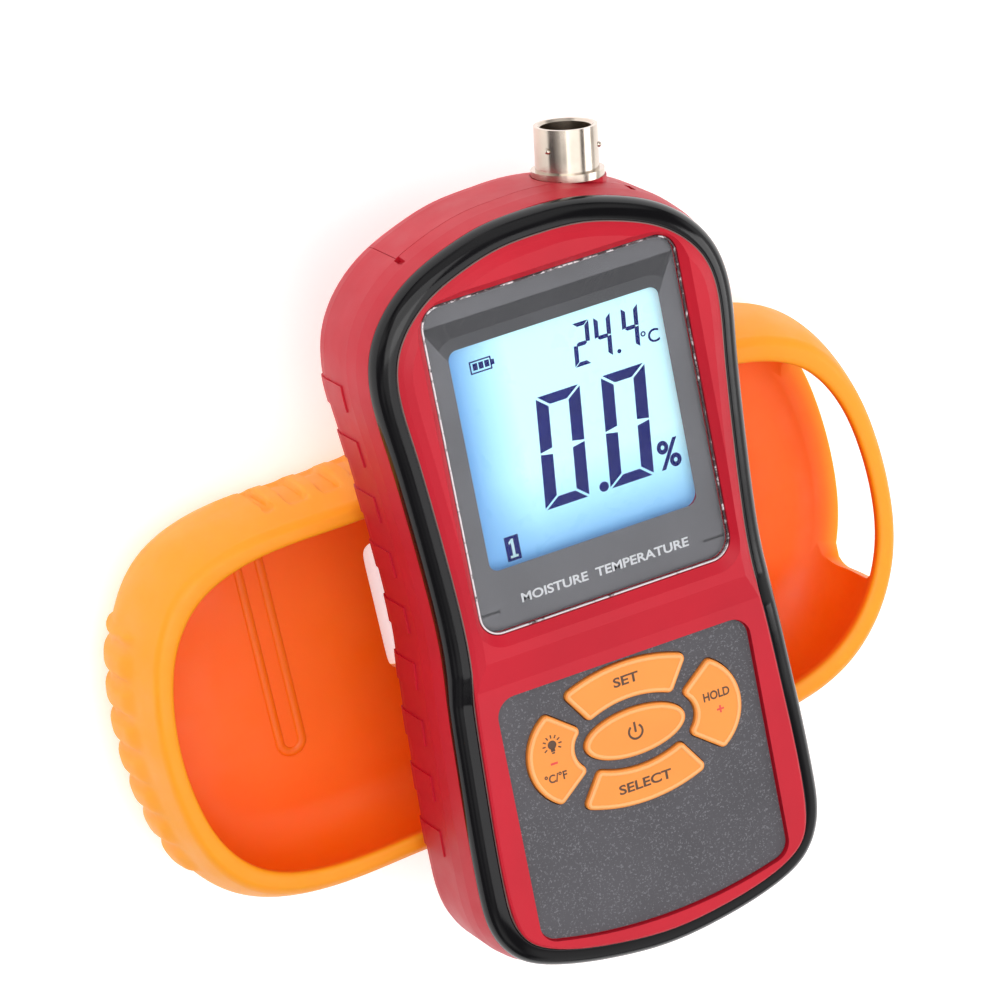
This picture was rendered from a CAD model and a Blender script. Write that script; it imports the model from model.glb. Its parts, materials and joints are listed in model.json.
# %% [markdown]
# # Grain moisture meter on its rubber boot
#
# The meter is a hand-held instrument: a red two-part case, a glossy black ring
# round the face, a lens over a segment display, a grey keypad with five orange
# keys, and a nickel probe socket in the end. It lies across the orange boot
# that protects it in the field. The solid model gives every piece its size and
# place. This file adds shaped surfaces, finishes, light and a camera.

# %% Loading the frame
import json
import math
import bmesh
import bpy
import mathutils
import numpy as np
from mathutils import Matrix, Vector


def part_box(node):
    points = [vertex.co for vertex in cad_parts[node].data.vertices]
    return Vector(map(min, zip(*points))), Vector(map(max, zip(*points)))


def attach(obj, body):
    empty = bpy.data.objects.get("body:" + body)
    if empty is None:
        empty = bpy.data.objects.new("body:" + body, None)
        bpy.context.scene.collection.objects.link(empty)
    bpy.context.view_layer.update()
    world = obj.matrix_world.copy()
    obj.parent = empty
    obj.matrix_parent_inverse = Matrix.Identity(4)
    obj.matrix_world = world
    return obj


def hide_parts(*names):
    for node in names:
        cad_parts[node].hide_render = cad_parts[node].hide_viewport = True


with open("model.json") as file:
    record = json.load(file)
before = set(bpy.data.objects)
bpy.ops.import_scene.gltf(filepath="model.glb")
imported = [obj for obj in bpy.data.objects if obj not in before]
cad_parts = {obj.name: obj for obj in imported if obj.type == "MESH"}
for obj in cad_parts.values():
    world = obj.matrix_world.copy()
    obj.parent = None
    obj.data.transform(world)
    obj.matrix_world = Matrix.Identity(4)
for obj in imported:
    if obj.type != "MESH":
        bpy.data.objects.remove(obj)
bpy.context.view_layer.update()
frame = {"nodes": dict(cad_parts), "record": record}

# %% [markdown]
# The meter was drawn about the centre of its lens, with heights from the back
# of the case, and the boot about its own middle. Working in those two local
# systems, in millimetres, keeps the numbers readable. The boxes of the solid
# parts say where the systems sit in the frame.

# %% Two local systems
MM = 0.001
lens_low, lens_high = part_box("display_lens")
case_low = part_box("rear_shell")[0]
METER = np.array([(lens_low[0] + lens_high[0]) / 2, (lens_low[1] + lens_high[1]) / 2, case_low[2]])
BOOT_OFFSET = np.array([-3.4, -48.5])
BOOT_TURN = math.radians(1.7)


def on_meter(points):
    """Local millimetres of the meter to metres in the frame: origin + points / 1000."""
    return METER + np.asarray(points, dtype=float) * MM


def on_boot(points):
    """Local millimetres of the boot to the frame: turned by the boot's askew angle, then shifted."""
    p = np.asarray(points, dtype=float)
    c, s = math.cos(BOOT_TURN), math.sin(BOOT_TURN)
    turned = np.stack([c * p[..., 0] - s * p[..., 1], s * p[..., 0] + c * p[..., 1], p[..., 2]], axis=-1)
    middle = np.array([METER[0] + BOOT_OFFSET[0] * MM, METER[1] + BOOT_OFFSET[1] * MM, 0.0])
    return middle + turned * MM


LENS_PLANE = (lens_high[2] - METER[2]) / MM
print("lens plane is %.1f mm above the back of the case" % LENS_PLANE)

# %% [markdown]
# A new piece is a mesh of whole arrays. Most pieces are rings of points, one
# ring above the other, so one function turns a stack of rings into faces. The
# rings run anticlockwise seen from above, which makes the faces point outwards.

# %% From arrays to pieces


def ring_quads(rows, columns, closed=False):
    """Quads between neighbouring rings: corner (i, j), (i, j+1), (i+1, j+1), (i+1, j), j wrapping round."""
    grid = np.arange(rows * columns).reshape(rows, columns)
    side = np.roll(grid, -1, axis=1)
    last = rows if closed else rows - 1
    above = np.roll(grid, -1, axis=0)
    above_side = np.roll(side, -1, axis=0)
    return np.stack([grid[:last], side[:last], above_side[:last], above[:last]], axis=-1).reshape(-1, 4)


def make_piece(name, points, faces, finish, body, crease=35.0, tidy=False,
               inner=None):
    """A mesh object at the origin with its place in its mesh, smooth except across creases."""
    mesh = bpy.data.meshes.new(name)
    mesh.from_pydata(np.asarray(points).reshape(-1, 3).tolist(), [], [list(face) for face in faces])
    if inner is not None:
        values = mesh.attributes.new("inner", "FLOAT", "POINT").data
        values.foreach_set("value", np.asarray(inner, dtype=float).ravel())
    mesh.validate()
    if tidy:
        work = bmesh.new()
        work.from_mesh(mesh)
        loose = [vertex for vertex in work.verts if not vertex.link_faces]
        bmesh.ops.delete(work, geom=loose, context="VERTS")
        bmesh.ops.recalc_face_normals(work, faces=work.faces)
        work.to_mesh(mesh)
        work.free()
    mesh.polygons.foreach_set("use_smooth", [True] * len(mesh.polygons))
    mesh.set_sharp_from_angle(angle=math.radians(crease))
    mesh.materials.append(finish)
    piece = bpy.data.objects.new(name, mesh)
    bpy.context.scene.collection.objects.link(piece)
    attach(piece, body)
    print(name, "has", len(mesh.polygons), "faces")
    return piece


# %% [markdown]
# The finishes share a few node recipes. Moulded plastic is never one flat
# colour: it drifts a little, its gloss varies where hands have been, and its
# skin has a fine texture. Each recipe reads Object coordinates, so patterns
# stay with the piece when it moves.

# %% Node recipes


def colour(red, green, blue):
    """Screen colour, 0 to 255, to linear light."""
    values = np.array([red, green, blue]) / 255.0
    linear = np.where(values <= 0.04045, values / 12.92, ((values + 0.055) / 1.055) ** 2.4)
    return (float(linear[0]), float(linear[1]), float(linear[2]), 1.0)


def shade(base, factor):
    """The same hue, lighter or darker."""
    return tuple(min(1.0, channel * factor) for channel in base[:3]) + (1.0,)


class Finish:
    """A material and short ways to add nodes to it."""

    def __init__(self, name):
        self.material = bpy.data.materials.new(name)
        self.material.use_nodes = True
        self.nodes = self.material.node_tree.nodes
        self.links = self.material.node_tree.links
        self.shader = self.nodes["Principled BSDF"]
        self.place = self.nodes.new("ShaderNodeTexCoord").outputs["Object"]

    def stretched(self, scale, centre=(0.0, 0.0, 0.0), turn=(0.0, 0.0, 0.0)):
        """Object coordinates measured from a centre, turned and scaled."""
        shift = self.nodes.new("ShaderNodeVectorMath")
        shift.operation = "SUBTRACT"
        shift.inputs[1].default_value = centre
        self.links.new(self.place, shift.inputs[0])
        mapping = self.nodes.new("ShaderNodeMapping")
        mapping.inputs["Rotation"].default_value = turn
        mapping.inputs["Scale"].default_value = scale
        self.links.new(shift.outputs[0], mapping.inputs["Vector"])
        return mapping.outputs[0]

    def noise(self, per_metre, detail=3.0, rough=0.5, vector=None):
        node = self.nodes.new("ShaderNodeTexNoise")
        node.inputs["Scale"].default_value = per_metre
        node.inputs["Detail"].default_value = detail
        node.inputs["Roughness"].default_value = rough
        self.links.new(vector or self.place, node.inputs["Vector"])
        return node.outputs["Fac"]

    def ramp(self, value, stops):
        """Colour ramp with (position, colour) stops."""
        node = self.nodes.new("ShaderNodeValToRGB")
        while len(node.color_ramp.elements) < len(stops):
            node.color_ramp.elements.new(0.5)
        for element, (position, tint) in zip(node.color_ramp.elements, stops):
            element.position = position
            element.color = tint
        self.links.new(value, node.inputs["Fac"])
        return node.outputs["Color"]

    def spread(self, value, low_in, high_in, low, high):
        """Maps a value from one range to another, held inside it."""
        node = self.nodes.new("ShaderNodeMapRange")
        for key, number in zip(("From Min", "From Max", "To Min", "To Max"), (low_in, high_in, low, high)):
            node.inputs[key].default_value = number
        self.links.new(value, node.inputs["Value"])
        return node.outputs["Result"]

    def sum(self, operation, first, second):
        """One arithmetic step on two values; either may be a number."""
        node = self.nodes.new("ShaderNodeMath")
        node.operation = operation
        for socket, value in zip(node.inputs, (first, second)):
            if isinstance(value, (int, float)):
                socket.default_value = value
            else:
                self.links.new(value, socket)
        return node.outputs[0]

    def blend(self, factor, first, second, how="MIX"):
        """Mixes two colours; either may be a fixed colour."""
        node = self.nodes.new("ShaderNodeMix")
        node.data_type = "RGBA"
        node.blend_type = how
        for socket, value in zip((node.inputs[0], node.inputs[6], node.inputs[7]), (factor, first, second)):
            if isinstance(value, (int, float, tuple)):
                socket.default_value = value
            else:
                self.links.new(value, socket)
        return node.outputs[2]

    def relief(self, height, strength, distance):
        """Bump from a height; chained after any bump made before."""
        node = self.nodes.new("ShaderNodeBump")
        node.inputs["Strength"].default_value = strength
        node.inputs["Distance"].default_value = distance
        self.links.new(height, node.inputs["Height"])
        if self.shader.inputs["Normal"].links:
            self.links.new(self.shader.inputs["Normal"].links[0].from_socket, node.inputs["Normal"])
        self.links.new(node.outputs[0], self.shader.inputs["Normal"])

    def wire(self, key, value):
        """Sets or links one input of the shader."""
        if isinstance(value, (int, float, tuple)):
            self.shader.inputs[key].default_value = value
        else:
            self.links.new(value, self.shader.inputs[key])


def moulded(name, base, drift=0.08, gloss=(0.35, 0.5), blotch=45.0, skin=2600.0, depth=0.00002,
            metal=0.0, specular=0.5, soft=0.0):
    """Moulded or plated surface: drifting colour, varied gloss and a fine skin."""
    finish = Finish(name)
    ends = [(0.3, shade(base, 1 - drift)), (0.7, shade(base, 1 + drift))]
    drifted = finish.ramp(finish.noise(blotch, 4.0), ends)
    finish.wire("Base Color", drifted)
    finish.wire("Roughness", finish.spread(finish.noise(blotch * 3, 5.0), 0.3, 0.7, gloss[0], gloss[1]))
    finish.wire("Metallic", metal)
    finish.wire("Specular IOR Level", specular)
    finish.relief(finish.noise(skin, 2.0), 0.35, depth)
    if soft:
        finish.wire("Subsurface Weight", soft)
        finish.wire("Subsurface Scale", 0.004)
        finish.wire("Subsurface Radius", (1.0, 0.35, 0.1))
    return finish


# %% [markdown]
# The case is injection moulded in red with a satin texture. Low noise gives
# slow drifts of colour, and a finer one gives the spark-eroded skin that
# scatters highlights into a soft pink sheen. Handling leaves paler rubbed
# patches, so the noise also moves the roughness.

# %% Case and ring finishes
case_red = moulded("case_red", colour(192, 12, 38), drift=0.07, gloss=(0.42, 0.54), skin=3200.0,
                   depth=0.00003, specular=0.4)

trim_black = moulded("trim_black", colour(14, 13, 15), drift=0.2, gloss=(0.10, 0.18), skin=900.0,
                     depth=0.000006, specular=0.3)

# %% [markdown]
# The boot is a thick elastomer. Light enters it and comes out warmer, so it
# takes a little subsurface scattering, a matt skin with a wavy orange-peel
# relief, and dust that settles as paler patches.

# %% Boot finish
boot_orange = moulded("boot_orange", colour(255, 122, 4), drift=0.06, gloss=(0.42, 0.62), skin=1400.0,
                      depth=0.00004, soft=0.25)
boot_orange.relief(boot_orange.noise(180.0, 2.0), 0.25, 0.0001)
how_deep = boot_orange.nodes.new("ShaderNodeAttribute")
how_deep.attribute_name = "inner"
warmth = boot_orange.sum("ADD", how_deep.outputs["Fac"],
                         boot_orange.spread(boot_orange.noise(40.0, 4.0), 0.3, 0.7, -0.06, 0.06))
boot_stops = [(0.0, colour(255, 160, 14)), (0.25, colour(255, 148, 8)), (0.6, colour(255, 124, 4)),
              (1.0, colour(255, 108, 0))]
boot_orange.wire("Base Color", boot_orange.ramp(warmth, boot_stops))

# %% [markdown]
# The keypad is a dark grey printed sheet with a sparkle in it, and the lens
# border is printed on the back of the lens in a similar grey. Both get tiny
# pale flecks: a very fine noise is cut off high, so that only its peaks show.

# %% Printed sheets


def printed(name, base, fleck, amount, gloss):
    """Printed grey sheet with fine pale flecks where a sharp noise passes a threshold."""
    finish = moulded(name, base, drift=0.10, gloss=gloss, blotch=60.0, skin=1800.0, depth=0.00001)
    flecks = finish.spread(finish.noise(2300.0, 2.0, 0.7), 1.0 - amount, 1.05 - amount, 0.0, 1.0)
    drifted = finish.shader.inputs["Base Color"].links[0].from_socket
    finish.wire("Base Color", finish.blend(flecks, drifted, fleck))
    return finish


keypad_grey = printed("keypad_grey", colour(74, 72, 77), colour(108, 107, 112), 0.42, (0.38, 0.5))
mask_grey = printed("mask_grey", colour(112, 110, 115), colour(150, 150, 155), 0.32, (0.3, 0.4))

# %% [markdown]
# The keys are orange silicone caps with a satin skin. Use has polished their
# middles and left a little grime at the rims.

# %% Key finish
key_orange = moulded("key_orange", colour(250, 150, 62), drift=0.05, gloss=(0.36, 0.5), skin=2400.0,
                     depth=0.00002, soft=0.12)

# %% [markdown]
# The socket is turned brass plated with nickel. Turning leaves rings round the
# axis, so its noise is squeezed along the axis and drawn out round it. The
# plating is warm in colour and its gloss changes from ring to ring.

# %% Metal finishes
socket_low, socket_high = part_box("socket_shell")
socket_middle = tuple((socket_low[i] + socket_high[i]) / 2 for i in range(3))
SOCKET_TILT = math.radians(8.5)


def turned_metal(name, base, gloss, centre, tilt):
    """Plated metal with turning rings across an axis that lies near Y."""
    finish = Finish(name)
    rings = finish.noise(9000.0, 2.0, vector=finish.stretched((0.02, 1.0, 0.02), centre, (0.0, 0.0, tilt)))
    patches = finish.noise(140.0, 4.0)
    finish.wire("Base Color", finish.ramp(patches, [(0.3, shade(base, 0.85)), (0.7, shade(base, 1.08))]))
    finish.wire("Metallic", 1.0)
    finish.wire("Roughness", finish.spread(patches, 0.3, 0.7, gloss[0], gloss[1]))
    finish.relief(rings, 0.3, 0.00001)
    return finish


socket_nickel = turned_metal("socket_nickel", colour(205, 192, 178), (0.14, 0.26), socket_middle, SOCKET_TILT)
screw_steel = turned_metal("screw_steel", colour(190, 190, 192), (0.3, 0.4), (0.0, 0.0, 0.0), 0.0)
spring_metal = turned_metal("spring_metal", colour(205, 204, 200), (0.25, 0.4), (0.0, 0.0, 0.0), 0.0)
contact_brass = turned_metal("contact_brass", colour(214, 178, 92), (0.2, 0.32), (0.0, 0.0, 0.0), 0.0)
can_metal = turned_metal("can_metal", colour(200, 202, 205), (0.25, 0.35), (0.0, 0.0, 0.0), 0.0)

# %% [markdown]
# The lens is clear acrylic. Real refraction would keep the light from the
# print behind it, so it is a mix instead: clear where it is seen straight on,
# mirror-like where its surface turns away, with a faint grease haze.

# %% Clear lens finish


def clear_sheet(name, tint, gloss, mirror):
    """Clear sheet: transparent, with a Fresnel share of gloss whose roughness drifts."""
    finish = Finish(name)
    see = finish.nodes.new("ShaderNodeBsdfTransparent")
    see.inputs["Color"].default_value = tint
    shine = finish.nodes.new("ShaderNodeBsdfGlossy")
    haze = finish.spread(finish.noise(60.0, 5.0), 0.35, 0.7, gloss[0], gloss[1])
    finish.links.new(haze, shine.inputs["Roughness"])
    edge = finish.nodes.new("ShaderNodeFresnel")
    edge.inputs["IOR"].default_value = mirror
    mix = finish.nodes.new("ShaderNodeMixShader")
    finish.links.new(edge.outputs[0], mix.inputs[0])
    finish.links.new(see.outputs[0], mix.inputs[1])
    finish.links.new(shine.outputs[0], mix.inputs[2])
    ripple = finish.nodes.new("ShaderNodeBump")
    ripple.inputs["Strength"].default_value = 0.05
    ripple.inputs["Distance"].default_value = 0.0001
    finish.links.new(finish.noise(90.0, 2.0), ripple.inputs["Height"])
    finish.links.new(ripple.outputs[0], shine.inputs["Normal"])
    finish.links.new(mix.outputs[0], finish.nodes["Material Output"].inputs["Surface"])
    finish.nodes.remove(finish.shader)
    return finish


lens_clear = clear_sheet("lens_clear", (0.97, 0.98, 0.98, 1.0), (0.06, 0.16), 1.25)

# %% [markdown]
# The remaining parts are inside the case or peep through the socket. Each has
# its own colour and gloss, so the instrument is right when it is taken apart.

# %% Finishes inside the case
tape_grey = moulded("tape_grey", colour(60, 60, 62), gloss=(0.6, 0.8))
lcd_glass = moulded("lcd_glass", colour(170, 190, 186), gloss=(0.08, 0.15), skin=300.0)
backlight_white = moulded("backlight_white", colour(235, 238, 238), gloss=(0.3, 0.4))
frame_white = moulded("frame_white", colour(225, 225, 220), gloss=(0.4, 0.55))
strip_rubber = moulded("strip_rubber", colour(205, 130, 130), gloss=(0.6, 0.75))
board_green = moulded("board_green", colour(20, 92, 48), drift=0.15, gloss=(0.2, 0.35), blotch=300.0,
                      skin=700.0)
chip_black = moulded("chip_black", colour(28, 28, 30), gloss=(0.5, 0.65))
capacitor_blue = moulded("capacitor_blue", colour(30, 50, 120), gloss=(0.25, 0.4))
insulator_black = moulded("insulator_black", colour(24, 24, 25), gloss=(0.35, 0.5))
wire_insulation = moulded("wire_insulation", colour(190, 40, 40), gloss=(0.35, 0.5))
battery_jacket = moulded("battery_jacket", colour(60, 64, 70), drift=0.15, gloss=(0.22, 0.35))

SLOT_FINISH = {
    "case_red": case_red, "trim_black": trim_black, "lens_clear": lens_clear, "mask_grey": mask_grey,
    "tape_grey": tape_grey, "lcd_glass": lcd_glass, "backlight_white": backlight_white,
    "frame_white": frame_white, "strip_rubber": strip_rubber, "board_green": board_green,
    "chip_black": chip_black, "can_metal": can_metal, "capacitor_blue": capacitor_blue,
    "spring_metal": spring_metal, "keypad_grey": keypad_grey, "key_orange": key_orange,
    "socket_nickel": socket_nickel, "insulator_black": insulator_black, "contact_brass": contact_brass,
    "wire_insulation": wire_insulation, "battery_jacket": battery_jacket, "screw_steel": screw_steel,
    "boot_rubber": boot_orange,
}

# %% Giving every solid part its finish
slot_of = {part["node"]: part["material_slot"] for part in frame["record"]["subparts"]}
for node, part in frame["nodes"].items():
    finish = SLOT_FINISH[slot_of[node]].material
    part.data.materials.clear()
    part.data.materials.append(finish)
print("finished", len(slot_of), "parts")

# %% [markdown]
# The case outline is a smooth closed curve through a few measured points. A
# cubic spline gives it: between neighbouring points the curve is a cubic, and
# slope and bend agree where the cubics meet. Every ring of the case is this
# outline moved inwards by some amount, so the outline is worked out once.

# %% Smooth outlines
CASE_LENGTH = 162.7
TOP_Y = 48.4
LOOP = 720


def spline_loop(points, count):
    """Closed cubic spline: second derivatives M solve h0*M0 + 2(h0+h1)*M1 + h1*M2 = 6*(slope1 - slope0)."""
    p = np.asarray(points, dtype=float)
    ahead = np.roll(p, -1, axis=0)
    h = np.linalg.norm(ahead - p, axis=1)
    slope = (ahead - p) / h[:, None]
    size = len(p)
    matrix = np.diag(2 * (np.roll(h, 1) + h))
    here = np.arange(size)
    matrix[here, (here + 1) % size] += h
    matrix[here, here - 1] += np.roll(h, 1)
    bend = np.linalg.solve(matrix, 6 * (slope - np.roll(slope, 1, axis=0)))
    start = np.concatenate([[0.0], np.cumsum(h)])
    t = np.linspace(0, start[-1], count, endpoint=False)
    i = np.clip(np.searchsorted(start, t, side="right") - 1, 0, size - 1)
    b = ((t - start[i]) / h[i])[:, None]
    a = 1 - b
    step = (h[i] ** 2)[:, None] / 6
    return a * p[i] + b * ahead[i] + step * ((a ** 3 - a) * bend[i] + (b ** 3 - b) * bend[(i + 1) % size])


def inwards(loop):
    """Unit normals to the left of an anticlockwise loop: (-dy, dx) of the neighbours' chord."""
    chord = np.roll(loop, -1, axis=0) - np.roll(loop, 1, axis=0)
    chord /= np.linalg.norm(chord, axis=1)[:, None]
    return np.stack([-chord[:, 1], chord[:, 0]], axis=1)


def case_loop(count):
    """Case outline, anticlockwise from the socket end."""
    head, waist, foot = 41.0, 37.7, 39.9
    half = [(0, 0), (.244 * head, .0037), (.471 * head, .0184), (.676 * head, .0406), (.851 * head, .0756),
            (.956 * head, .1156), (head, .1592), (.983 * head, .2483), (1.032 * waist, .3467),
            (1.005 * waist, .4450), (waist, .5310), (.962 * foot, .5863), (.982 * foot, .6785),
            (foot, .8380), (.970 * foot, .9029), (.860 * foot, .9465), (.627 * foot, .9760),
            (.301 * foot, .9936), (0, 1)]
    left = [(-x, TOP_Y - share * CASE_LENGTH) for x, share in half]
    right = [(-x, y) for x, y in reversed(left[1:-1])]
    return spline_loop(left + right, count)


outline = case_loop(LOOP)
print("case outline runs %.1f x %.1f mm" % tuple(np.ptp(outline, axis=0)))


def carried(profile, loop, drop=0.0):
    """Profile (inset, height) carried along a loop: point = loop + inset * inward normal, lowered by drop."""
    insets = np.array([step[0] for step in profile])[:, None, None]
    heights = np.array([step[1] for step in profile])[:, None] + np.zeros(len(loop)) - drop
    plan = loop + insets * inwards(loop)
    return np.concatenate([plan, heights[:, :, None]], axis=2)


def resampled(corners, spacing):
    """Closed polygon with evenly spaced points along its edges."""
    p = np.asarray(corners, dtype=float)
    closed = np.concatenate([p, p[:1]])
    way = np.concatenate([[0.0], np.cumsum(np.linalg.norm(np.diff(closed, axis=0), axis=1))])
    steps = np.arange(0, way[-1] - spacing / 2, way[-1] / round(way[-1] / spacing))
    return np.stack([np.interp(steps, way, closed[:, i]) for i in (0, 1)], axis=1)


def rounded_box(half_x, half_y, radius, middle=(0.0, 0.0)):
    """Rectangle with round corners, anticlockwise: quarter circles about four corner centres."""
    turn = np.linspace(0, math.pi / 2, 13)
    corners = []
    for i, (sx, sy) in enumerate(((1, 1), (-1, 1), (-1, -1), (1, -1))):
        angle = turn + i * math.pi / 2
        corners.append(np.stack([middle[0] + sx * (half_x - radius) + radius * np.cos(angle),
                                 middle[1] + sy * (half_y - radius) + radius * np.sin(angle)], axis=1))
    return np.concatenate(corners)


# %% [markdown]
# The glossy ring rolls over the shoulder of the case and goes down a step at
# the waist, with one crease where the step starts and one where it ends. A
# closed profile is carried round the outline, and its height is lowered by a
# clamped ramp in Y. The clamp's two corners are the creases.

# %% The black ring
STEP_START = -41.0
STEP_END = -47.5
STEP_DROP = 0.9


def waist_drop(y):
    """Height taken off: 0 above the step, a straight ramp across it, the full step below it."""
    return STEP_DROP * np.clip((STEP_START - y) / (STEP_START - STEP_END), 0.0, 1.0)


ring_profile = [(5.45, 28.75), (1.15, 28.75), (1.15, 29.3), (1.35, 30.2), (1.7, 31.0), (2.2, 31.7),
                (2.8, 32.25), (3.5, 32.65), (4.3, 32.95), (5.0, 33.1), (5.3, 33.1), (5.45, 32.95)]
RING_FOOT, RING_TOP = 28.75, 33.1
ring_share = np.array([(step[1] - RING_FOOT) / (RING_TOP - RING_FOOT) for step in ring_profile])[:, None]
ring_rings = carried(ring_profile, outline, ring_share * waist_drop(outline[:, 1]))
ring = make_piece("ring_band", on_meter(ring_rings),
                  ring_quads(len(ring_profile), LOOP, closed=True), trim_black.material, "meter",
                  50.0)
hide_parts("trim_ring")

# %% [markdown]
# Where the ring meets the face, a hair-thin brown-grey line shows, the edge of
# the part below. It is a small bead carried along the same outline, and it
# goes down the same step.

# %% The line inside the ring
line_brown = moulded("line_brown", colour(128, 104, 100), drift=0.15, gloss=(0.3, 0.45), blotch=200.0)
line_profile = [(5.75, 32.7), (5.40, 32.7), (5.38, 33.02), (5.5, 33.18), (5.65, 33.15), (5.75, 32.95)]
make_piece("ring_line", on_meter(carried(line_profile, outline, waist_drop(outline[:, 1]))),
           ring_quads(len(line_profile), LOOP, closed=True), line_brown.material, "meter", 60.0)

# %% [markdown]
# The boot is one moulding, so it is one closed skin: under the floor, up the
# outside, over the lip, down the inside and back across the floor to the
# window. Each row of the skin is the boot's outline at some half length and
# half width. Grips and ribs are small shifts of that skin, worked out from the
# place of the points. The slot at the end is left out of both walls, and its
# edge is closed with a band of faces.

# %% The boot's outline and section
BOOT_HEIGHT = 30.0
SWELL = 14.0
SLOT_Y = (-22.5, 31.5)
SLOT_Z = (4.5, 25.2)
SLOT_ROUND = 4.5
BOOT_LOOP = 800
boot_shares = [(-1.0, 0.0), (-0.987, -0.33), (-0.945, -0.63), (-0.86, -0.86), (-0.71, -0.985), (-0.45, -1.0),
               (0.0, -1.0), (0.40, -1.0), (0.650, -0.985), (0.803, -0.865), (0.915, -0.63), (0.982, -0.31),
               (1.0, 0.0), (0.992, 0.34), (0.950, 0.70), (0.868, 0.95), (0.730, 1.09), (0.50, 1.14),
               (0.20, 1.09), (-0.10, 1.03), (-0.45, 1.0), (-0.71, 0.985), (-0.86, 0.86), (-0.945, 0.63),
               (-0.987, 0.33)]
widest = spline_loop([(x * 87.2, y * 42.4) for x, y in boot_shares], 4000)
run = np.concatenate([[0.0], np.cumsum(np.linalg.norm(np.diff(widest, axis=0, append=widest[:1]), axis=1))])
boot_share_x = np.append(widest[:, 0], widest[0, 0]) / 87.2
boot_share_y = np.append(widest[:, 1], widest[0, 1]) / 42.4


def boot_half(z):
    """Outer half length and width at a height: quarter ellipse to the swell, then leaning in as share^2."""
    z = np.asarray(z, dtype=float)
    out = np.sqrt(np.clip(1 - (1 - np.clip(z, 0, SWELL) / SWELL) ** 2, 0, 1))
    fall = np.clip((z - SWELL) / (BOOT_HEIGHT - SWELL), 0, 1) ** 2
    return 77.0 + 10.2 * out - 2.5 * fall, 32.5 + 9.9 * out - 4.1 * fall


def boot_row(half_x, half_y, s):
    """Outline of one row: (half_x * share_x(s), half_y * share_y(s)) at run s along the widest outline."""
    x = half_x * np.interp(s, run, boot_share_x)
    y = half_y * np.interp(s, run, boot_share_y)
    return np.stack([x, y], axis=-1)


even = np.arange(BOOT_LOOP) * run[-1] / BOOT_LOOP
slot_run = [float(np.interp(y / 42.4, boot_share_y[1200:2700], run[1200:2700])) for y in SLOT_Y]
slot_first, slot_last = [int(np.argmin(abs(even - value))) for value in slot_run]
even = np.interp(np.arange(BOOT_LOOP), [0, slot_first, slot_last, BOOT_LOOP], [0.0, *slot_run, run[-1]])


def slot_warp(z):
    """Run of every column at a height, drawn inwards near the slot's corners so that they are round."""
    near = np.minimum(abs(z - SLOT_Z[0]), abs(z - SLOT_Z[1]))
    depth = SLOT_ROUND - np.sqrt(max(SLOT_ROUND ** 2 - max(SLOT_ROUND - near, 0.0) ** 2, 0.0))
    if z < SLOT_Z[0] or z > SLOT_Z[1]:
        depth = SLOT_ROUND * max(1 - near / 4.5, 0.0)
    first = np.clip(1 - abs(even - slot_run[0]) / 14.0, 0, 1)
    last = np.clip(1 - abs(even - slot_run[1]) / 14.0, 0, 1)
    return even + depth * (first - last)


print("slot spans columns", slot_first, "to", slot_last, "of", BOOT_LOOP)

# %% [markdown]
# The marks on the skin: finger grips are shallow bands across the long sides,
# and the closed end has upright ribs with grooves between them. Both are
# products of smooth steps, so they fade into the wall without a hard corner.

# %% The boot's marks


def soft_step(value, edge, width):
    """0 below the edge, 1 above it, with a smooth cubic rise over the width."""
    t = np.clip((value - edge) / width + 0.5, 0, 1)
    return t * t * (3 - 2 * t)


def band(value, low, high, width):
    """1 between two edges, 0 outside."""
    return soft_step(value, low, width) * (1 - soft_step(value, high, width))


GRIP_PITCH, GRIP_DEPTH, GRIP_REACH = 7.6, 1.5, 49.5
RIB_PITCH, RIB_PROUD = 7.4, 1.3


def from_nearest(value, pitch):
    """Distance from the nearest mark in a row of evenly pitched marks."""
    return (value + pitch / 2) % pitch - pitch / 2


def grip_depth(x, y, z):
    """Depth of the 13 finger grips on each side: a row of bands in x, faded out towards floor and lip."""
    row = band(from_nearest(x + GRIP_PITCH / 2, GRIP_PITCH), -2.1, 2.1, 0.9)
    sides = (abs(y) > 30) * band(x, -GRIP_REACH, GRIP_REACH, 0.5)
    return GRIP_DEPTH * row * sides * band(z, 6.5, 22.5, 3.0)


def rib_height(x, y, z):
    """Height of the ribs round the closed end: bands in y that stand proud, with round ends."""
    row = 1 - np.clip(abs(from_nearest(y + RIB_PITCH / 2, RIB_PITCH)) / 2.9, 0, 1) ** 4
    return RIB_PROUD * row * band(y, -30.0, 25.0, 1.5) * band(z, 2.5, 20.5, 4.0) * (x < -50)


# %% Rows of the skin
WALL = 2.6
INNER_STRETCH = 30.0 / 24.4
low_z = np.concatenate([SWELL * (1 - np.cos(np.radians(np.arange(9, 45, 9)))), [SLOT_Z[0]]])
high_z = [SLOT_Z[1], 26.2, 27.2, 28.2, 28.9]
outer_z = np.unique(np.round(np.concatenate([low_z, np.arange(5.5, 25.0, 1.0), high_z]), 4))
inner_z = outer_z[(outer_z >= SLOT_Z[0]) & (outer_z < 26.5)][::-1]
WINDOW = (2.0, 5.0, 26.0, 14.5)


def window_loop(around):
    """Rounded rectangle seen from its middle towards each outline point: superellipse of power 14."""
    dx, dy = around[:, 0] - WINDOW[0], around[:, 1] - WINDOW[1]
    reach = ((abs(dx) / WINDOW[2]) ** 14 + (abs(dy) / WINDOW[3]) ** 14) ** (-1 / 14)
    return np.stack([WINDOW[0] + dx * reach, WINDOW[1] + dy * reach], axis=1)


def level(plan, z):
    """Plan points at one height."""
    return np.column_stack([plan, np.full(len(plan), float(z))])


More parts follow.
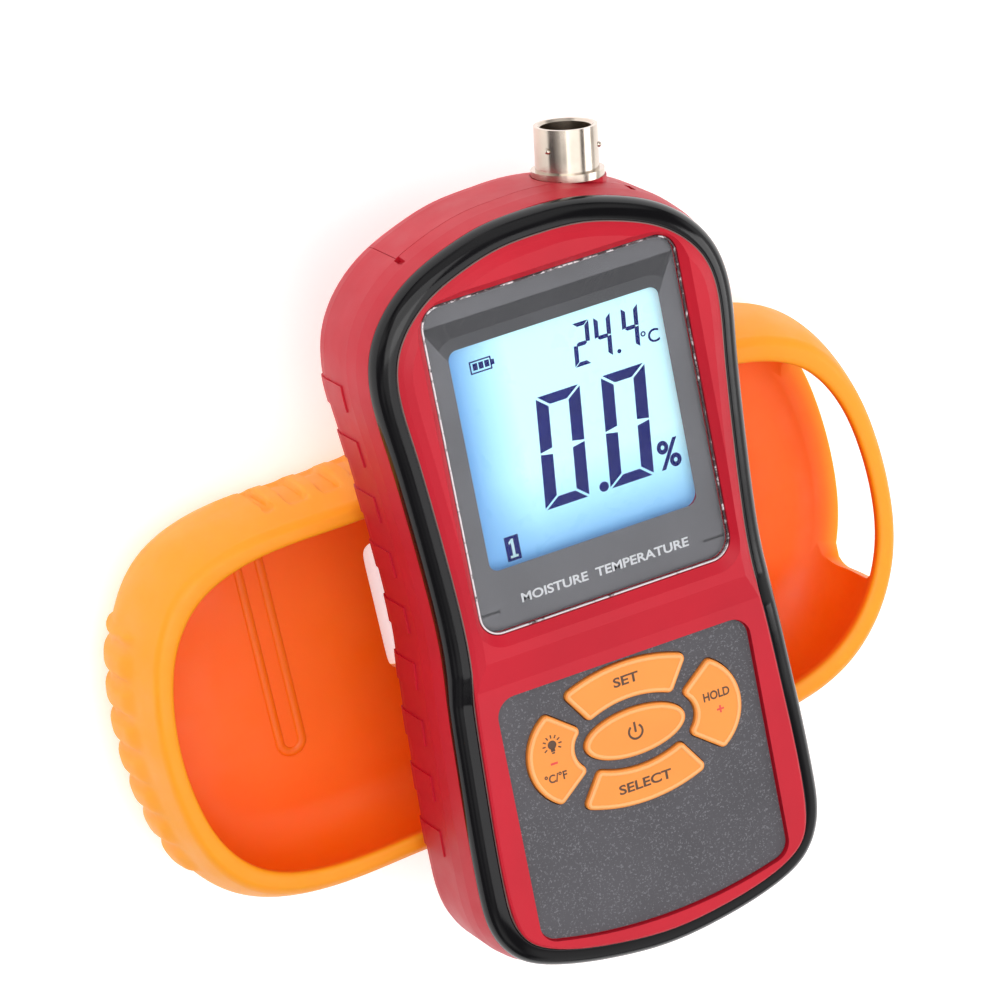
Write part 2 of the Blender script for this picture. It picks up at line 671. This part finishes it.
rows = []
floor_edge = boot_row(77.0, 32.5, even)
window_edge = window_loop(floor_edge)
rows += [level(window_edge, 0.0), level((window_edge + floor_edge) / 2, 0.0), level(floor_edge, 0.0)]
outer_start = len(rows)
for z in outer_z:
    half_x, half_y = boot_half(z)
    plan = boot_row(half_x, half_y, slot_warp(z))
    shift = rib_height(plan[:, 0], plan[:, 1], z) - grip_depth(plan[:, 0], plan[:, 1], z)
    rows.append(level(plan - shift[:, None] * inwards(plan), z))
RIM_X, RIM_Y = 84.7, 38.3
LIP_SECTION = ((0.15, 29.5), (0.55, 29.85), (1.1, 30.0), (2.4, 30.0), (3.1, 29.9), (3.5, 29.5), (3.6, 28.9),
               (3.6, 27.8), (3.3, 27.2))
for inset, z in LIP_SECTION:
    rows.append(level(boot_row(RIM_X - inset, RIM_Y - inset, slot_warp(z)), z))
inner_start = len(rows)
for z in inner_z:
    half_x, half_y = boot_half((z - WALL) * INNER_STRETCH)
    rows.append(level(boot_row(half_x - WALL, half_y - WALL, slot_warp(z)), z))
for share in (0.75, 0.5, 0.25, 0.08):
    z = WALL + (SLOT_Z[0] - WALL) * share ** 1.5
    half_x, half_y = boot_half((z - WALL) * INNER_STRETCH)
    rows.append(level(boot_row(half_x - WALL, half_y - WALL, even), z))
inner_floor = boot_row(77.0 - WALL, 32.5 - WALL, even)
for share in np.linspace(0.0, 1.0, 12):
    plan = inner_floor + (window_edge - inner_floor) * share
    rows.append(level(plan, WALL))
skin = np.array(rows)
depth_inside = np.zeros(skin.shape[:2])
depth_inside[inner_start - 3:] = 0.6
depth_inside[inner_start:] = np.clip(1 - (skin[inner_start:, :, 2] - WALL) / 26.0, 0.0, 1.0) * 0.45 + 0.5

# %% Closing the skin round the slot
faces = ring_quads(len(rows), BOOT_LOOP, closed=True).reshape(len(rows), BOOT_LOOP, 4)
grid = np.arange(len(rows) * BOOT_LOOP).reshape(len(rows), BOOT_LOOP)
out_low = outer_start + int(np.argmin(abs(outer_z - SLOT_Z[0])))
out_high = outer_start + int(np.argmin(abs(outer_z - SLOT_Z[1])))
in_low = inner_start + int(np.argmin(abs(inner_z - SLOT_Z[0])))
in_high = inner_start + int(np.argmin(abs(inner_z - SLOT_Z[1])))
keep = np.ones((len(rows), BOOT_LOOP), dtype=bool)
keep[out_low:out_high, slot_first:slot_last] = False
keep[in_high:in_low, slot_first:slot_last] = False


def edge_band(first, second):
    """Quads between two matching lines of points."""
    return np.stack([first[:-1], first[1:], second[1:], second[:-1]], axis=-1)


across_slot = slice(slot_first, slot_last + 1)
slot_faces = np.concatenate([
    edge_band(grid[out_low, across_slot], grid[in_low, across_slot]),
    edge_band(grid[out_high, across_slot], grid[in_high, across_slot]),
    edge_band(grid[out_low:out_high + 1, slot_first], grid[in_high:in_low + 1, slot_first][::-1]),
    edge_band(grid[out_low:out_high + 1, slot_last], grid[in_high:in_low + 1, slot_last][::-1])])
boot_faces = np.concatenate([faces[keep], slot_faces])
boot_skin = make_piece("boot_skin", on_boot(skin), boot_faces.tolist(), boot_orange.material, "boot",
                       50.0, tidy=True, inner=depth_inside)
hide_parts("protective_boot")

# %% [markdown]
# A raised rail in the shape of a long U lies on the boot's floor near the
# closed end. It is a half-round profile carried along a path: down one side,
# round a half circle and up the other side, until it dies into the wall.

# %% The rail on the boot's floor
RAIL_X, RAIL_END_Y, RAIL_HALF, RAIL_TOP_Y = -49.0, -16.0, 2.5, 29.0
straight = np.linspace(RAIL_TOP_Y, RAIL_END_Y, 30)[:-1]
bend = np.linspace(math.pi, 2 * math.pi, 25)
rail_path = np.concatenate([
    np.column_stack([np.full(len(straight), RAIL_X - RAIL_HALF), straight]),
    np.column_stack([RAIL_X + RAIL_HALF * np.cos(bend), RAIL_END_Y + RAIL_HALF * np.sin(bend)]),
    np.column_stack([np.full(len(straight), RAIL_X + RAIL_HALF), straight[::-1]])])


def swept(path, z, half_width, height, around=16):
    """Tube of elliptic section on a flat path: path + cos(a) * half_width * side, z + sin(a) * height."""
    along = np.gradient(path, axis=0)
    along /= np.linalg.norm(along, axis=1)[:, None]
    side = np.stack([along[:, 1], -along[:, 0]], axis=1)
    angle = np.arange(around) * 2 * math.pi / around
    plan = path[:, None] + np.cos(angle)[None, :, None] * half_width * side[:, None]
    rise = np.broadcast_to(z + np.sin(angle) * height, plan.shape[:2])
    points = np.concatenate([plan, rise[:, :, None]], axis=2)
    ends = [list(range(around))[::-1], list(range(len(path) * around - around, len(path) * around))]
    return points, ring_quads(len(path), around).tolist() + ends


def rail_rise(path):
    """Floor height under the path, rising where the floor curves up into the wall."""
    return WALL + 6.0 * np.clip((path[:, 1] - 24.5) / 6.0, 0, 1) ** 2


rail_points, rail_faces = swept(rail_path, 0.0, 1.0, 0.5)
rail_points[:, :, 2] += rail_rise(rail_path)[:, None]
make_piece("boot_rail", on_boot(rail_points), rail_faces, boot_orange.material, "boot",
           tidy=True, inner=np.full(rail_points.shape[:2], 0.85))

# %% [markdown]
# The display shines through the window of the printed border. Its face is a
# thin lit sheet: nearly white cyan in the middle and bluer near two edges,
# where the light guide is weaker. The segments are dark slanted bars.

# %% The lit display
glass_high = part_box("lcd_front_glass")[1]
LCD_TOP = (glass_high[2] - METER[2]) / MM
LCD_HALF_X = 25.5
LCD_LOW_Y = -26.5
LCD_HIGH_Y = 28.0

lit_face = Finish("lit_face")
across = lit_face.stretched((1.0, 1.0, 1.0), tuple(METER))
split = lit_face.nodes.new("ShaderNodeSeparateXYZ")
lit_face.links.new(across, split.inputs[0])
from_left = lit_face.spread(split.outputs[0], -0.022, -0.010, 0.0, 1.0)
from_foot = lit_face.spread(split.outputs[1], -0.024, -0.006, 0.0, 1.0)
evenness = lit_face.sum("MULTIPLY", from_left, from_foot)
cloudy = lit_face.sum("MULTIPLY_ADD", lit_face.noise(70.0, 3.0), 0.12)
lit_colour = lit_face.ramp(evenness, [(0.0, colour(104, 164, 222)), (0.45, colour(160, 216, 244)),
                                      (1.0, colour(196, 240, 250))])
lit_face.links.new(evenness, cloudy.node.inputs[2])
lit_face.wire("Base Color", lit_colour)
lit_face.wire("Emission Color", lit_colour)
lit_face.wire("Emission Strength", lit_face.spread(cloudy, 0.0, 1.1, 0.28, 0.42))
lit_face.wire("Roughness", lit_face.spread(lit_face.noise(200.0), 0.3, 0.7, 0.25, 0.35))
lit_face.relief(lit_face.noise(2500.0), 0.1, 0.00001)


def flat_prism(corners, low, high):
    """Points and faces of an upright prism on one anticlockwise outline."""
    plan = np.asarray(corners, dtype=float)
    count = len(plan)
    points = np.concatenate([np.column_stack([plan, np.full(count, z)]) for z in (low, high)])
    around = np.arange(count)
    beside = (around + 1) % count
    walls = np.stack([around, beside, beside + count, around + count], axis=1).tolist()
    return points, walls + [list(around[::-1]), list(around + count)]


def gather(parts):
    """Several (points, faces) pairs as one."""
    points = []
    faces = []
    base = 0
    for part_points, part_faces in parts:
        points.append(part_points)
        faces += [[corner + base for corner in face] for face in part_faces]
        base += len(part_points)
    return np.concatenate(points), faces


sheet_corners = [(-LCD_HALF_X, LCD_LOW_Y), (LCD_HALF_X, LCD_LOW_Y),
                 (LCD_HALF_X, LCD_HIGH_Y), (-LCD_HALF_X, LCD_HIGH_Y)]
sheet_points, sheet_faces = flat_prism(sheet_corners, LCD_TOP + 0.01, LCD_TOP + 0.06)
make_piece("display_face", on_meter(sheet_points), sheet_faces, lit_face.material, "meter")

# %% [markdown]
# A seven-segment digit is a box with a bar across the middle. Each bar has
# pointed ends so that neighbours meet at a mitre, and the whole digit leans
# over a little. A table says which bars each figure lights.

# %% Display figures
LIT_BARS = {"0": "abcdef", "1": "bc", "2": "abged", "4": "fgbc"}
LEAN = math.tan(math.radians(6.0))
INK_LOW = LCD_TOP + 0.05
INK_HIGH = LCD_TOP + 0.12


def figure_bars(figure, x, y, width, height, upright, level_bar, gap):
    """Outlines of a figure's lit bars: mitred at the corners, leaning over about its foot."""
    w, h, v, t, g, m = width, height, upright, level_bar, gap, height / 2
    slant = 0.25 * v
    shapes = {
        "a": [(g, h), (v + g, h - t), (w - v - g, h - t), (w - g, h)],
        "b": [(w, h - g), (w - v, h - t - g), (w - v, m + slant), (w, m + g / 2)],
        "c": [(w, m - g / 2), (w - v, m - slant), (w - v, t + g), (w, g)],
        "d": [(g, 0), (w - g, 0), (w - v - g, t), (v + g, t)],
        "e": [(0, g), (v, t + g), (v, m - slant), (0, m - g / 2)],
        "f": [(0, m + g / 2), (v, m + slant), (v, h - t - g), (0, h - g)],
        "g": [(v / 2 + g, m), (v + g, m - t / 2), (w - v - g, m - t / 2), (w - v / 2 - g, m),
              (w - v - g, m + t / 2), (v + g, m + t / 2)],
    }
    outlines = []
    for name in LIT_BARS[figure]:
        corners = shapes[name] if name in "adeg" else shapes[name][::-1]
        if signed_area(corners) < 0:
            corners = corners[::-1]
        outlines.append([(x + cx + LEAN * cy, y + cy) for cx, cy in corners])
    return outlines


def signed_area(corners):
    """Half the sum of x0*y1 - x1*y0 round the outline: positive when anticlockwise."""
    p = np.asarray(corners, dtype=float)
    q = np.roll(p, -1, axis=0)
    return float(np.sum(p[:, 0] * q[:, 1] - q[:, 0] * p[:, 1])) / 2


def block(x0, y0, x1, y1):
    """Plain rectangle, anticlockwise."""
    return [(x0, y0), (x1, y0), (x1, y1), (x0, y1)]


def outlined_block(x0, y0, x1, y1, thick):
    """Rectangle drawn as four strips."""
    return [block(x0, y0, x1, y0 + thick), block(x0, y1 - thick, x1, y1),
            block(x0, y0 + thick, x0 + thick, y1 - thick), block(x1 - thick, y0 + thick, x1, y1 - thick)]


def disc(x, y, radius, count=24):
    """Circle as an anticlockwise outline."""
    angle = np.arange(count) * 2 * math.pi / count
    return list(zip(x + radius * np.cos(angle), y + radius * np.sin(angle)))


DX, DY = 1.63, -1.53
figures = []
figures += figure_bars("0", -9.9 + DX, -13.0 + DY, 9.9, 23.4, 2.7, 2.1, 0.35)
figures += [disc(3.5 + DX, -12.1 + DY, 1.05)]
figures += figure_bars("0", 4.8 + DX, -13.0 + DY, 9.9, 23.4, 2.7, 2.1, 0.35)
figures += figure_bars("2", 2.3 + DX, 13.8 + DY, 3.7, 9.0, 0.95, 0.85, 0.14)
figures += figure_bars("4", 7.1 + DX, 13.8 + DY, 3.7, 9.0, 0.95, 0.85, 0.14)
figures += [disc(12.3 + DX, 14.3 + DY, 0.45, 16)]
figures += figure_bars("4", 13.3 + DX, 13.8 + DY, 3.7, 9.0, 0.95, 0.85, 0.14)
figures += outlined_block(-20.0 + DX, 19.2 + DY, -15.2 + DX, 21.9 + DY, 0.28)
figures += [block(-15.2 + DX, 20.0 + DY, -14.6 + DX, 21.1 + DY)]
figures += [block(-19.3 + DX + 1.3 * i, 19.9 + DY, -18.3 + DX + 1.3 * i, 21.3 + DY) for i in range(3)]
figures += [block(-20.0 + DX, -20.9 + DY, -16.9 + DX, -15.7 + DY)]

segment_ink = moulded("segment_ink", colour(10, 22, 112), drift=0.12, gloss=(0.3, 0.4), blotch=200.0,
                       specular=0.1)
figure_points, figure_faces = gather([flat_prism(corners, INK_LOW, INK_HIGH) for corners in figures])
make_piece("display_figures", on_meter(figure_points), figure_faces, segment_ink.material, "meter")

# %% [markdown]
# Legends are printed ink. Blender's own text gives clean letters: the text is
# turned into a mesh, laid at its place inside that mesh, and thick enough to
# stand a hair above the surface it is printed on.

# %% Printed words


def printed_words(name, words, x, y, height, z, finish, body="meter", width=None, thick=0.05,
                  heavy=0.022):
    """Text as a mesh centred on (x, y), scaled to a cap height and, if given, a width."""
    curve = bpy.data.curves.new(name, "FONT")
    curve.body = words
    curve.extrude = 0.5
    curve.offset = heavy
    curve.resolution_u = 4
    holder = bpy.data.objects.new(name + "_text", curve)
    bpy.context.scene.collection.objects.link(holder)
    mesh = bpy.data.meshes.new_from_object(holder.evaluated_get(bpy.context.evaluated_depsgraph_get()))
    bpy.data.objects.remove(holder)
    flat = np.empty(len(mesh.vertices) * 3)
    mesh.vertices.foreach_get("co", flat)
    flat = flat.reshape(-1, 3)
    low, high = flat.min(axis=0), flat.max(axis=0)
    middle = (low + high) / 2
    scale_y = height / (high[1] - low[1])
    scale_x = width / (high[0] - low[0]) if width else scale_y
    placed = (flat - middle) * np.array([scale_x, scale_y, thick]) + np.array([x, y, z])
    mesh.vertices.foreach_set("co", on_meter(placed).ravel())
    mesh.materials.clear()
    mesh.materials.append(finish.material)
    mesh.name = name
    piece = bpy.data.objects.new(name, mesh)
    bpy.context.scene.collection.objects.link(piece)
    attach(piece, body)
    print(name, "is %.1f mm wide" % np.ptp(placed[:, 0]))
    return piece


key_ink = moulded("key_ink", colour(88, 62, 44), drift=0.12, gloss=(0.45, 0.6), blotch=300.0)
caption_ink = moulded("caption_ink", colour(226, 226, 230), drift=0.06, gloss=(0.35, 0.5), blotch=300.0)
sign_ink = moulded("sign_ink", colour(226, 72, 64), drift=0.1, gloss=(0.4, 0.55), blotch=300.0)

KEY_TOP = (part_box("key_set")[1][2] - METER[2]) / MM
MASK_TOP = (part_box("lens_mask")[1][2] - METER[2]) / MM
INK = 0.02
KEY_WORDS = (
    ("ink_set", "SET", 0.0, -53.0, 2.1, key_ink, "set_key", 5.7),
    ("ink_select", "SELECT", 0.0, -75.7, 2.1, key_ink, "select_key", 12.0),
    ("ink_hold", "HOLD", 19.0, -62.6, 1.9, key_ink, "hold_key", 6.0),
    ("ink_degrees", "°C/°F", -19.0, -68.2, 1.9, key_ink, "light_key", 5.0),
    ("ink_more", "+", 19.3, -66.0, 1.6, sign_ink, "hold_key", 1.6),
    ("ink_less", "-", -18.8, -65.2, 0.45, sign_ink, "light_key", 1.6),
)
for name, words, x, y, height, ink, body, width in KEY_WORDS:
    printed_words(name, words, x, y, height, KEY_TOP + INK, ink, body, width)
printed_words("ink_caption", "MOISTURE  TEMPERATURE", 0.9, -29.6, 2.0, MASK_TOP + INK, caption_ink,
              width=38.0)
printed_words("display_percent", "%", 18.8 + DX, -9.8 + DY, 6.2, INK_HIGH, segment_ink,
              width=5.0)
printed_words("display_unit", "°C", 19.5 + DX, 15.3 + DY, 3.0, INK_HIGH, segment_ink,
              heavy=0.01)
pale_ink = moulded("pale_ink", colour(205, 238, 246), drift=0.03, gloss=(0.3, 0.4), blotch=200.0)
ONE_X, ONE_Y = -19.3 + DX, -20.3 + DY
ONE_STEM = [(0.6, 0.5), (1.2, 0.5), (1.2, 4.0), (0.75, 4.0), (0.1, 3.4), (0.1, 2.9), (0.6, 3.2)]
one_shapes = [[(ONE_X + x, ONE_Y + y) for x, y in ONE_STEM],
              block(ONE_X + 0.05, ONE_Y, ONE_X + 1.75, ONE_Y + 0.5)]
one_prisms = [flat_prism(corners, INK_HIGH - 0.02, INK_HIGH + 0.04) for corners in one_shapes]
one_points, one_faces = gather(one_prisms)
make_piece("display_channel", on_meter(one_points), one_faces, pale_ink.material, "meter")

# %% [markdown]
# Two keys carry signs instead of words: a ring with a gap and a bar on the
# oval key, and a lamp with rays on the left-hand key. They are prisms as thin
# as the ink, gathered into one piece each.

# %% Printed signs


def arc_band(x, y, inner, outer, first, last, count=40):
    """Part of a flat ring between two angles in degrees, as one outline."""
    angle = np.radians(np.linspace(first, last, count))
    circle = np.stack([np.cos(angle), np.sin(angle)], axis=1)
    return np.concatenate([circle * outer, circle[::-1] * inner]) + np.array([x, y])


def ray(x, y, inner, outer, width, angle):
    """Short bar that points away from a centre."""
    c, s = math.cos(math.radians(angle)), math.sin(math.radians(angle))
    return [(x + a * c - b * s, y + a * s + b * c) for a, b in
            ((inner, -width), (outer, -width), (outer, width), (inner, width))]


def printed_signs(name, shapes, finish, body):
    """Flat shapes as thin prisms on the keys' tops."""
    points, faces = gather([flat_prism(corners, KEY_TOP, KEY_TOP + 0.05) for corners in shapes])
    return make_piece(name, on_meter(points), faces, finish.material, body)


POWER_Y = -64.5
power_sign = [arc_band(0.0, POWER_Y, 1.3, 1.75, 128, 412), block(-0.23, POWER_Y - 0.1, 0.23, POWER_Y + 2.1)]
printed_signs("ink_power", power_sign, key_ink, "power_key")
LAMP_X, LAMP_Y = -18.5, -61.2
lamp_rays = [ray(LAMP_X, LAMP_Y, 1.45, 2.15, 0.14, angle) for angle in range(-30, 211, 30)]
lamp_base = [block(LAMP_X - 0.45, LAMP_Y - 1.45, LAMP_X + 0.45, LAMP_Y - 0.85),
             block(LAMP_X - 0.32, LAMP_Y - 1.9, LAMP_X + 0.32, LAMP_Y - 1.6)]
printed_signs("ink_lamp", [disc(LAMP_X, LAMP_Y, 0.95), *lamp_base, *lamp_rays], key_ink, "light_key")

# %% [markdown]
# Each key has a low rounded bead just inside its edge, paler where fingers
# rub it. The bead follows the key's own outline, read from the top of the
# solid key: its top corners, sorted by angle, then spaced evenly.

# %% Beads on the keys
bead_pale = moulded("bead_pale", colour(252, 178, 108), drift=0.05, gloss=(0.32, 0.45), skin=2400.0, soft=0.1)
BEAD = [(0.62, 0.0), (0.08, 0.0), (0.02, 0.07), (0.14, 0.15), (0.35, 0.18), (0.56, 0.15), (0.68, 0.07)]


def key_outline(node):
    """Outline of a key's flat top in the meter's millimetres, anticlockwise."""
    mesh = frame["nodes"][node].data
    flat = np.empty(len(mesh.vertices) * 3)
    mesh.vertices.foreach_get("co", flat)
    p = (flat.reshape(-1, 3) - METER) / MM
    top = np.unique(np.round(p[p[:, 2] > p[:, 2].max() - 0.01][:, :2], 3), axis=0)
    centre = (top.min(axis=0) + top.max(axis=0)) / 2
    off = top - centre
    return resampled(top[np.argsort(np.arctan2(off[:, 1], off[:, 0]))], 0.35)


for key in ("set", "power", "select", "hold", "light"):
    bead = [(inset, KEY_TOP - 0.02 + rise) for inset, rise in BEAD]
    loop = key_outline("key_" + key)
    make_piece("bead_" + key, on_meter(carried(bead, loop)), ring_quads(len(bead), len(loop), closed=True),
               bead_pale.material, key + "_key", tidy=True)

# %% [markdown]
# The lens was cut from sheet, and its edge is chipped and catches the light,
# most of all on the left and at the foot. A hair-thin strip round the lens
# carries that: a noise decides where it is silvery and where it is dark.

# %% The lens's edge
edge_chips = Finish("edge_chips")
seen = edge_chips.nodes.new("ShaderNodeSeparateXYZ")
edge_chips.links.new(edge_chips.stretched((1.0, 1.0, 1.0), tuple(METER)), seen.inputs[0])
left_side = edge_chips.spread(seen.outputs[0], -0.024, -0.029, 0.0, 0.2)
foot_side = edge_chips.spread(seen.outputs[1], -0.030, -0.035, 0.0, 0.2)
worn = edge_chips.sum("ADD", edge_chips.sum("ADD", left_side, foot_side), edge_chips.noise(520.0, 4.0, 0.65))
chip_stops = [(0.52, colour(70, 52, 56)), (0.62, colour(226, 222, 224))]
edge_chips.wire("Base Color", edge_chips.ramp(worn, chip_stops))
edge_chips.wire("Roughness", edge_chips.spread(edge_chips.noise(900.0), 0.3, 0.7, 0.2, 0.45))
edge_chips.relief(edge_chips.noise(1600.0, 4.0), 0.5, 0.00008)
LENS_CORNER = 4.5
lens_half_x = (lens_high[0] - lens_low[0]) / MM / 2
lens_half_y = (lens_high[1] - lens_low[1]) / MM / 2
lens_loop = resampled(rounded_box(lens_half_x, lens_half_y, LENS_CORNER), 0.5)
edge_profile = [(0.36, LENS_PLANE - 0.25), (-0.02, LENS_PLANE - 0.35), (-0.02, LENS_PLANE - 0.05),
                (0.10, LENS_PLANE + 0.02), (0.30, LENS_PLANE + 0.03)]
make_piece("lens_edge", on_meter(carried(edge_profile, lens_loop)),
           ring_quads(len(edge_profile), len(lens_loop), closed=True), edge_chips.material, "meter",
           tidy=True)

# %% [markdown]
# The floor is a pale sheet that glows a little, so that it stays white under
# the object's coloured bounce. Three large soft lamps make the light even: one
# high at the back left, a fill at the right and a wide one overhead. The
# surround has soft bright and dark panels, which give the nickel its bands.

# %% Floor and light


def soft_lamp(name, place, target, size, power):
    """Square area lamp aimed at a point."""
    lamp = bpy.data.lights.new(name, "AREA")
    lamp.shape = "SQUARE"
    lamp.size = size
    lamp.energy = power
    holder = bpy.data.objects.new(name, lamp)
    bpy.context.scene.collection.objects.link(holder)
    z_axis = np.array(place, dtype=float) - np.array(target, dtype=float)
    z_axis /= np.linalg.norm(z_axis)
    x_axis = np.cross([0.0, 1.0, 0.001], z_axis)
    x_axis /= np.linalg.norm(x_axis)
    y_axis = np.cross(z_axis, x_axis)
    matrix = np.eye(4)
    matrix[:3, :3] = np.column_stack([x_axis, y_axis, z_axis])
    matrix[:3, 3] = place
    holder.matrix_world = mathutils.Matrix(matrix.tolist())
    return holder


floor_finish = moulded("floor_white", colour(244, 244, 244), drift=0.01, gloss=(0.7, 0.85), blotch=8.0)
floor_finish.wire("Emission Color", (1.0, 1.0, 1.0, 1.0))
floor_finish.wire("Emission Strength", 0.42)
floor_points, floor_faces = flat_prism([(-3, -3), (3, -3), (3, 3), (-3, 3)], -0.011, -0.0005)
floor_mesh = bpy.data.meshes.new("floor")
floor_mesh.from_pydata(floor_points.tolist(), [], floor_faces)
floor_mesh.materials.append(floor_finish.material)
floor = bpy.data.objects.new("floor", floor_mesh)
bpy.context.scene.collection.objects.link(floor)

soft_lamp("lamp_back_left", (-0.4, 0.45, 0.95), (0.0, 0.0, 0.05), 0.9, 5.5)
soft_lamp("lamp_right", (0.85, -0.1, 0.6), (0.0, 0.0, 0.05), 0.5, 2.6)
soft_lamp("lamp_overhead", (0.0, -0.1, 1.1), (0.0, 0.0, 0.0), 1.0, 5.5)

surround = bpy.data.worlds.new("surround")
surround.use_nodes = True
sky = surround.node_tree
direction = sky.nodes.new("ShaderNodeTexCoord").outputs["Generated"]
panels = sky.nodes.new("ShaderNodeTexNoise")
panels.inputs["Scale"].default_value = 1.6
panels.inputs["Detail"].default_value = 1.0
panel_light = sky.nodes.new("ShaderNodeValToRGB")
panel_light.color_ramp.elements[0].position = 0.42
panel_light.color_ramp.elements[0].color = (0.16, 0.16, 0.17, 1.0)
panel_light.color_ramp.elements[1].position = 0.58
panel_light.color_ramp.elements[1].color = (1.0, 1.0, 1.0, 1.0)
sky.links.new(direction, panels.inputs["Vector"])
sky.links.new(panels.outputs["Fac"], panel_light.inputs["Fac"])
sky.links.new(panel_light.outputs["Color"], sky.nodes["Background"].inputs["Color"])
sky.nodes["Background"].inputs["Strength"].default_value = 0.8
bpy.context.scene.world = surround
bpy.context.scene.view_settings.view_transform = "Standard"

# %% [markdown]
# The camera looks down at the face from a little to the left and below, and
# is rolled so that the meter leans. A long lens keeps the perspective slight.

# %% Camera
AZIMUTH, ELEVATION, ROLL = math.radians(-21.48), math.radians(18.97), math.radians(-11.27)
DISTANCE, SLIDE_RIGHT, SLIDE_UP = 1.220, -0.01557, -0.01289


def camera_axes(azimuth, elevation, roll):
    """Right, up and backward unit vectors of a camera tipped from straight above."""
    back = np.array([math.sin(azimuth) * math.cos(elevation), math.sin(elevation),
                     math.cos(azimuth) * math.cos(elevation)])
    right = np.cross([0.0, 1.0, 0.0], back)
    right /= np.linalg.norm(right)
    up = np.cross(back, right)
    turned_right = math.cos(roll) * right + math.sin(roll) * up
    turned_up = -math.sin(roll) * right + math.cos(roll) * up
    return turned_right, turned_up, back


right, up, back = camera_axes(AZIMUTH, ELEVATION, ROLL)
lens_top = on_meter((0.0, 0.0, LENS_PLANE))
stand = lens_top + DISTANCE * back + SLIDE_RIGHT * right + SLIDE_UP * up
camera_data = bpy.data.cameras.new("camera")
camera_data.lens = 220.1
camera_data.sensor_width = 36.0
camera = bpy.data.objects.new("camera", camera_data)
bpy.context.scene.collection.objects.link(camera)
pose = np.eye(4)
pose[:3, :3] = np.column_stack([right, up, back])
pose[:3, 3] = stand
camera.matrix_world = mathutils.Matrix(pose.tolist())
bpy.context.scene.camera = camera
print("camera stands at", [round(float(value), 3) for value in stand])
